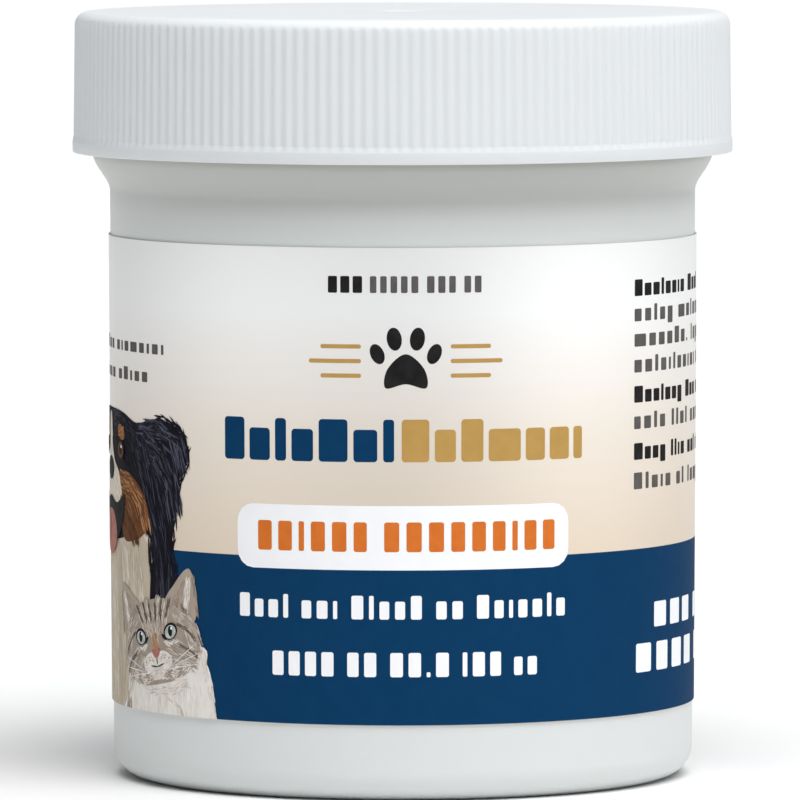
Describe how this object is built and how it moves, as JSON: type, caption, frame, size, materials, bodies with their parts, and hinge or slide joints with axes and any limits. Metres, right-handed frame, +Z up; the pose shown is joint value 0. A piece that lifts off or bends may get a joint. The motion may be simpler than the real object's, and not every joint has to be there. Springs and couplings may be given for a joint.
{
  "type": "screw-cap powder jar",
  "caption": "Round white screw-cap jar of powder with a finely ribbed cap, a threaded neck, a foam sealing disc and a wrap-round printed label.",
  "frame": {"origin": "centre of the jar's base, on the surface that it stands on", "axes": "+Z up along the jar's axis; -Y towards the front of the label; +X to its right, seen from the front"},
  "size_m": [0.0556, 0.0556, 0.0644],
  "materials": {
    "jar_plastic": "semi-gloss white moulded polyolefin, slightly translucent",
    "label_paper": null,
    "powder": "fine off-white mineral powder, dead matt",
    "liner_foam": "white foamed polyethylene sheet",
    "cap_plastic": "satin white moulded polypropylene"
  },
  "bodies": {
    "jar": {"jar_body": "jar_plastic", "wrap_label": "label_paper", "powder_fill": "powder"},
    "liner": {"cap_liner": "liner_foam"},
    "cap": {"screw_cap": "cap_plastic"}
  },
  "joints": [
    {"name": "cap_lift", "type": "slide", "parent": "jar", "child": "liner", "axis": [0, 0, 1], "range_m": [0, 0.0223]},
    {"name": "cap_turn", "type": "hinge", "parent": "liner", "child": "cap", "pos_m": [0, 0, 0.0585], "axis": [0, 0, 1], "range_deg": [0, 1890]}
  ],
  "couplings": [
    {"joint": "cap_lift", "follows": "cap_turn", "m_per_rad": 0.00067376}
  ]
}
